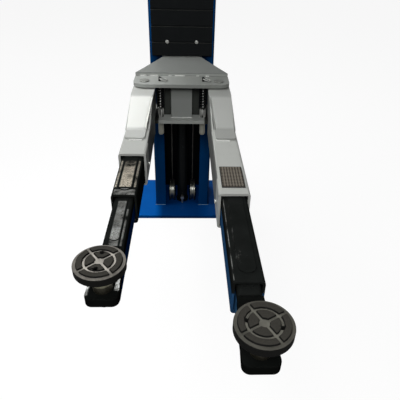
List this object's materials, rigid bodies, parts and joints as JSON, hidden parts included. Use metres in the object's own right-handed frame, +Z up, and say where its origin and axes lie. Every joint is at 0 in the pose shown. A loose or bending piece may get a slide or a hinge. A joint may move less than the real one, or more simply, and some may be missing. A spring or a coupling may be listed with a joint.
{
  "type": "two post car lift column with swing arms",
  "caption": "Upright post of a two post car lift: a raised carriage on a chain and cylinder carries two telescopic swing arms with round rubber pads.",
  "frame": {"origin": "underside of the base plate, in the middle of the post's width and in line with the front of its lips", "axes": "+X across the post, +Y away from the arms towards the back of the post, +Z up"},
  "size_m": [0.62, 1.951, 2.8],
  "materials": {
    "post_paint": "gloss",
    "base_paint": "gloss",
    "arm_paint": "gloss",
    "yoke_paint": "gloss",
    "slope_paint": "gloss",
    "black_steel": "satin",
    "stage_paint": "satin",
    "zinc": "satin",
    "chrome_rod": "polished",
    "chain_steel": "satin",
    "rope_steel": "satin",
    "guard_rubber": "matte",
    "pad_rubber": "matte",
    "slide_nylon": "matte"
  },
  "bodies": {
    "column": {"base_plate": "base_paint", "column_channel": "post_paint", "column_cap": "post_paint", "column_gussets": "post_paint", "cylinder_barrel": "black_steel", "oil_union": "zinc", "sheave_brackets": "black_steel", "levelling_cables": "rope_steel", "chain_fixed_run": "chain_steel"},
    "sheave_left": {"base_sheave_left": "zinc"},
    "sheave_right": {"base_sheave_right": "zinc"},
    "ram": {"piston_rod": "chrome_rod", "chain_wheel": "chain_steel", "lift_chain": "chain_steel"},
    "carriage": {"carriage_frame": "yoke_paint", "slide_blocks": "slide_nylon", "yoke_top_plate": "yoke_paint", "yoke_bottom_plate": "yoke_paint", "yoke_slope_plate": "slope_paint", "yoke_core": "yoke_paint", "arm_pins": "zinc", "door_guard": "guard_rubber", "lock_housings": "black_steel", "lock_spring_left": "zinc", "lock_spring_right": "zinc", "chain_front_run": "chain_steel"},
    "lock_left": {"lock_rod_left": "zinc", "pull_ring_left": "zinc"},
    "arm_left": {"arm_root_left": "arm_paint", "arm_cover_left": "arm_paint", "arm_gear_left": "black_steel", "arm_tube_left": "arm_paint"},
    "mid_left": {"mid_tube_left": "stage_paint"},
    "inner_left": {"inner_tube_left": "stage_paint", "pad_holder_left": "black_steel"},
    "screw_left": {"pad_screw_left": "black_steel"},
    "pad_left": {"rubber_pad_left": "pad_rubber"},
    "lock_right": {"lock_rod_right": "zinc", "pull_ring_right": "zinc"},
    "arm_right": {"arm_root_right": "arm_paint", "arm_cover_right": "arm_paint", "arm_gear_right": "black_steel", "arm_tube_right": "arm_paint", "grip_patch": "guard_rubber"},
    "mid_right": {"mid_tube_right": "stage_paint"},
    "inner_right": {"inner_tube_right": "stage_paint", "pad_holder_right": "black_steel"},
    "screw_right": {"pad_screw_right": "black_steel"},
    "pad_right": {"rubber_pad_right": "pad_rubber"}
  },
  "joints": [
    {"name": "carriage_lift", "type": "slide", "parent": "column", "child": "carriage", "axis": [0, 0, 1], "range_m": [-0.57, 1.2], "deforming": ["chain_front_run"]},
    {"name": "ram_lift", "type": "slide", "parent": "column", "child": "ram", "axis": [0, 0, 1], "range_m": [-0.286, 0.601], "deforming": ["chain_fixed_run"]},
    {"name": "sheave_left_turn", "type": "hinge", "parent": "column", "child": "sheave_left", "pos_m": [-0.062, 0.072, 0.088], "axis": [1, 0, 0], "continuous": true},
    {"name": "sheave_right_turn", "type": "hinge", "parent": "column", "child": "sheave_right", "pos_m": [0.062, 0.072, 0.088], "axis": [1, 0, 0], "continuous": true},
    {"name": "lock_left_lift", "type": "slide", "parent": "carriage", "child": "lock_left", "axis": [0, 0, 1], "range_m": [0, 0.025], "stiffness_N_per_m": 600, "springref_m": -0.03, "deforming": ["lock_spring_left"]},
    {"name": "arm_left_swing", "type": "hinge", "parent": "carriage", "child": "arm_left", "pos_m": [-0.172, -0.211, 0.75], "axis": [0, 0, -1], "range_deg": [-3, 100]},
    {"name": "mid_left_slide", "type": "slide", "parent": "arm_left", "child": "mid_left", "axis": [0, -1, 0], "range_m": [-0.24, 0.05]},
    {"name": "inner_left_slide", "type": "slide", "parent": "mid_left", "child": "inner_left", "axis": [0, -1, 0], "range_m": [-0.225, 0.04]},
    {"name": "screw_left_lift", "type": "slide", "parent": "inner_left", "child": "screw_left", "axis": [0, 0, 1], "range_m": [0, 0.03]},
    {"name": "pad_left_turn", "type": "hinge", "parent": "screw_left", "child": "pad_left", "pos_m": [-0.172, -1.414, 0.8], "axis": [0, 0, 1], "continuous": true},
    {"name": "lock_right_lift", "type": "slide", "parent": "carriage", "child": "lock_right", "axis": [0, 0, 1], "range_m": [0, 0.025], "stiffness_N_per_m": 600, "springref_m": -0.03, "deforming": ["lock_spring_right"]},
    {"name": "arm_right_swing", "type": "hinge", "parent": "carriage", "child": "arm_right", "pos_m": [0.172, -0.211, 0.75], "axis": [0, 0, 1], "range_deg": [-3, 100]},
    {"name": "mid_right_slide", "type": "slide", "parent": "arm_right", "child": "mid_right", "axis": [0, -1, 0], "range_m": [-0.35, 0.05]},
    {"name": "inner_right_slide", "type": "slide", "parent": "mid_right", "child": "inner_right", "axis": [0, -1, 0], "range_m": [-0.022, 0.33]},
    {"name": "screw_right_lift", "type": "slide", "parent": "inner_right", "child": "screw_right", "axis": [0, 0, 1], "range_m": [0, 0.03]},
    {"name": "pad_right_turn", "type": "hinge", "parent": "screw_right", "child": "pad_right", "pos_m": [0.172, -1.591, 0.8], "axis": [0, 0, 1], "continuous": true}
  ],
  "couplings": [
    {"joint": "ram_lift", "follows": "carriage_lift", "ratio": 0.5}
  ]
}
